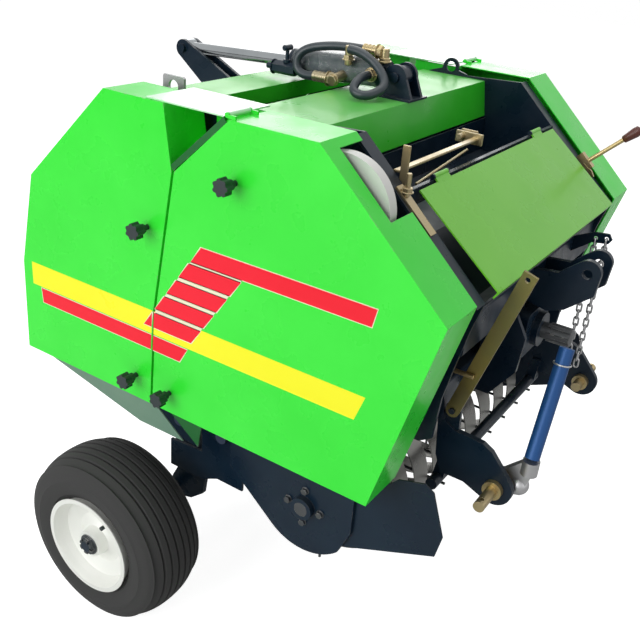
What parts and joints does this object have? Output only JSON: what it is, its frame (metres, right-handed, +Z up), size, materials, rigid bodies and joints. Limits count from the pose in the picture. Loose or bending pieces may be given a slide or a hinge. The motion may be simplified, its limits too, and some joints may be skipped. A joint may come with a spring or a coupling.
{
  "type": "three-point mounted mini round baler",
  "caption": "Compact roller-chamber hay baler with angular side covers, hinged tailgate on a hydraulic cylinder, tined pickup, two small wheels and a three-point hitch.",
  "frame": {"origin": "on the floor below the middle of the bounding box", "axes": "+X towards the hitch, +Y to the machine left, +Z up"},
  "size_m": [1.086, 1.2, 1.2075],
  "materials": {
    "bare_steel": "plain steel",
    "chrome_rod": "hard chrome",
    "cover_green": "gloss green paint on sheet steel",
    "frame_navy": "dark blue paint on plate steel",
    "galvanised": "galvanised sheet",
    "link_blue": "blue paint on tube",
    "pulley_grey": "turned grey pulley",
    "rim_white": "white paint",
    "roller_paint": "dark paint worn on the ribs",
    "tyre_rubber": "black rubber",
    "zinc_gold": "yellow zinc plating"
  },
  "bodies": {
    "frame": {"cross_beams": "frame_navy", "cylinder_bracket": "frame_navy", "frame_plate_left": "frame_navy", "frame_plate_right": "frame_navy", "front_cover_left": "cover_green", "front_cover_right": "cover_green", "front_knobs": "frame_navy", "gearbox": "frame_navy", "headstock": "frame_navy", "lower_hitch_plates": "frame_navy", "lower_pins": "zinc_gold", "pickup_plates": "frame_navy", "pickup_wings": "frame_navy", "stripper_bands": "galvanised", "top_hitch_plates": "frame_navy", "top_sheet": "cover_green", "twine_box": "frame_navy", "wheel_arms": "frame_navy", "wind_guard": "frame_navy"},
    "wheel_right": {"tyre_right": "tyre_rubber", "rim_right": "rim_white"},
    "wheel_left": {"tyre_left": "tyre_rubber", "rim_left": "rim_white"},
    "tailgate": {"tail_plates": "frame_navy", "tail_shell": "cover_green", "rear_cover_right": "cover_green", "rear_cover_left": "cover_green", "tail_arm": "frame_navy", "tail_knobs": "frame_navy"},
    "cylinder_barrel_body": {"cylinder_barrel": "frame_navy"},
    "cylinder_rod_body": {"cylinder_rod": "chrome_rod"},
    "flap_right_body": {"flap_right": "cover_green"},
    "flap_left_body": {"flap_left": "cover_green"},
    "twine_lid_body": {"twine_lid": "cover_green"},
    "twine_pulley_body": {"twine_pulley": "pulley_grey"},
    "pickup_reel_body": {"pickup_reel": "bare_steel"},
    "pto_shaft_body": {"pto_shaft": "bare_steel"},
    "stand_body": {"stand": "frame_navy"},
    "top_link_body": {"top_link": "link_blue", "top_link_eye": "bare_steel"},
    "trip_lever_body": {"trip_lever": "zinc_gold"},
    "front_roller_1_body": {"front_roller_1": "roller_paint"},
    "front_roller_2_body": {"front_roller_2": "roller_paint"},
    "tail_roller_1_body": {"tail_roller_1": "roller_paint"},
    "tail_roller_2_body": {"tail_roller_2": "roller_paint"},
    "tail_roller_3_body": {"tail_roller_3": "roller_paint"},
    "tail_roller_4_body": {"tail_roller_4": "roller_paint"}
  },
  "joints": [
    {"name": "wheel_right_turn", "type": "hinge", "parent": "frame", "child": "wheel_right", "pos_m": [-0.267, -0.5125, 0.2], "axis": [0, 1, 0], "continuous": true},
    {"name": "wheel_left_turn", "type": "hinge", "parent": "frame", "child": "wheel_left", "pos_m": [-0.267, 0.5125, 0.2], "axis": [0, 1, 0], "continuous": true},
    {"name": "tailgate_open", "type": "hinge", "parent": "frame", "child": "tailgate", "pos_m": [-0.098, 0, 1.095], "axis": [0, 1, 0], "range_deg": [0, 60]},
    {"name": "cylinder_tilt", "type": "hinge", "parent": "frame", "child": "cylinder_barrel_body", "pos_m": [0.044, 0, 1.181], "axis": [0, 1, 0], "range_deg": [0, 48.79]},
    {"name": "cylinder_stroke", "type": "slide", "parent": "cylinder_barrel_body", "child": "cylinder_rod_body", "axis": [0.9988, 0, 0.0498], "range_m": [0, 0.1334]},
    {"name": "flap_right_lift", "type": "hinge", "parent": "frame", "child": "flap_right_body", "pos_m": [-0.008, -0.454, 1.1629], "axis": [0, 1, 0], "range_deg": [0, 61]},
    {"name": "flap_left_lift", "type": "hinge", "parent": "frame", "child": "flap_left_body", "pos_m": [-0.008, 0.454, 1.1629], "axis": [0, 1, 0], "range_deg": [0, 61]},
    {"name": "twine_lid_lift", "type": "hinge", "parent": "frame", "child": "twine_lid_body", "pos_m": [0.2615, 0, 1.077], "axis": [0, -1, 0], "range_deg": [0, 100]},
    {"name": "twine_pulley_turn", "type": "hinge", "parent": "frame", "child": "twine_pulley_body", "pos_m": [0.195, -0.43, 1.05], "axis": [0, 1, 0], "continuous": true},
    {"name": "pickup_reel_turn", "type": "hinge", "parent": "frame", "child": "pickup_reel_body", "pos_m": [0.159, 0, 0.413], "axis": [0, 1, 0], "continuous": true},
    {"name": "pto_shaft_turn", "type": "hinge", "parent": "frame", "child": "pto_shaft_body", "pos_m": [0.452, 0, 0.745], "axis": [1, 0, 0], "continuous": true},
    {"name": "front_roller_1_turn", "type": "hinge", "parent": "frame", "child": "front_roller_1_body", "pos_m": [-0.10042, 0, 0.42891], "axis": [0, 1, 0], "continuous": true},
    {"name": "front_roller_2_turn", "type": "hinge", "parent": "frame", "child": "front_roller_2_body", "pos_m": [-0.04149, 0, 0.98964], "axis": [0, 1, 0], "continuous": true},
    {"name": "tail_roller_1_turn", "type": "hinge", "parent": "tailgate", "child": "tail_roller_1_body", "pos_m": [-0.47136, 0, 0.75136], "axis": [0, 1, 0], "continuous": true},
    {"name": "tail_roller_2_turn", "type": "hinge", "parent": "tailgate", "child": "tail_roller_2_body", "pos_m": [-0.44915, 0, 0.60278], "axis": [0, 1, 0], "continuous": true},
    {"name": "tail_roller_3_turn", "type": "hinge", "parent": "tailgate", "child": "tail_roller_3_body", "pos_m": [-0.3577, 0, 0.4836], "axis": [0, 1, 0], "continuous": true},
    {"name": "tail_roller_4_turn", "type": "hinge", "parent": "tailgate", "child": "tail_roller_4_body", "pos_m": [-0.21993, 0, 0.42369], "axis": [0, 1, 0], "continuous": true},
    {"name": "stand_fold", "type": "hinge", "parent": "frame", "child": "stand_body", "pos_m": [-0.066, 0.15, 0.324], "axis": [0, 1, 0], "range_deg": [0, 90]},
    {"name": "top_link_swing", "type": "hinge", "parent": "frame", "child": "top_link_body", "pos_m": [0.479, -0.228, 0.528], "axis": [0, 1, 0], "range_deg": [-5, 30]},
    {"name": "trip_lever_swing", "type": "hinge", "parent": "frame", "child": "trip_lever_body", "pos_m": [0.373, -0.265, 0.656], "axis": [0, 1, 0], "range_deg": [0, 14]}
  ],
  "couplings": [
    {"joint": "cylinder_tilt", "follows": "tailgate_open", "ratio": 0.80485},
    {"joint": "cylinder_stroke", "follows": "tailgate_open", "m_per_rad": 0.12641},
    {"joint": "flap_right_lift", "follows": "tailgate_open", "ratio": 1},
    {"joint": "flap_left_lift", "follows": "tailgate_open", "ratio": 1},
    {"joint": "front_roller_2_turn", "follows": "front_roller_1_turn", "ratio": 1},
    {"joint": "tail_roller_1_turn", "follows": "front_roller_1_turn", "ratio": 1},
    {"joint": "tail_roller_2_turn", "follows": "front_roller_1_turn", "ratio": 1},
    {"joint": "tail_roller_3_turn", "follows": "front_roller_1_turn", "ratio": 1},
    {"joint": "tail_roller_4_turn", "follows": "front_roller_1_turn", "ratio": 1},
    {"joint": "pickup_reel_turn", "follows": "front_roller_1_turn", "ratio": 0.6},
    {"joint": "pto_shaft_turn", "follows": "front_roller_1_turn", "ratio": 3}
  ]
}
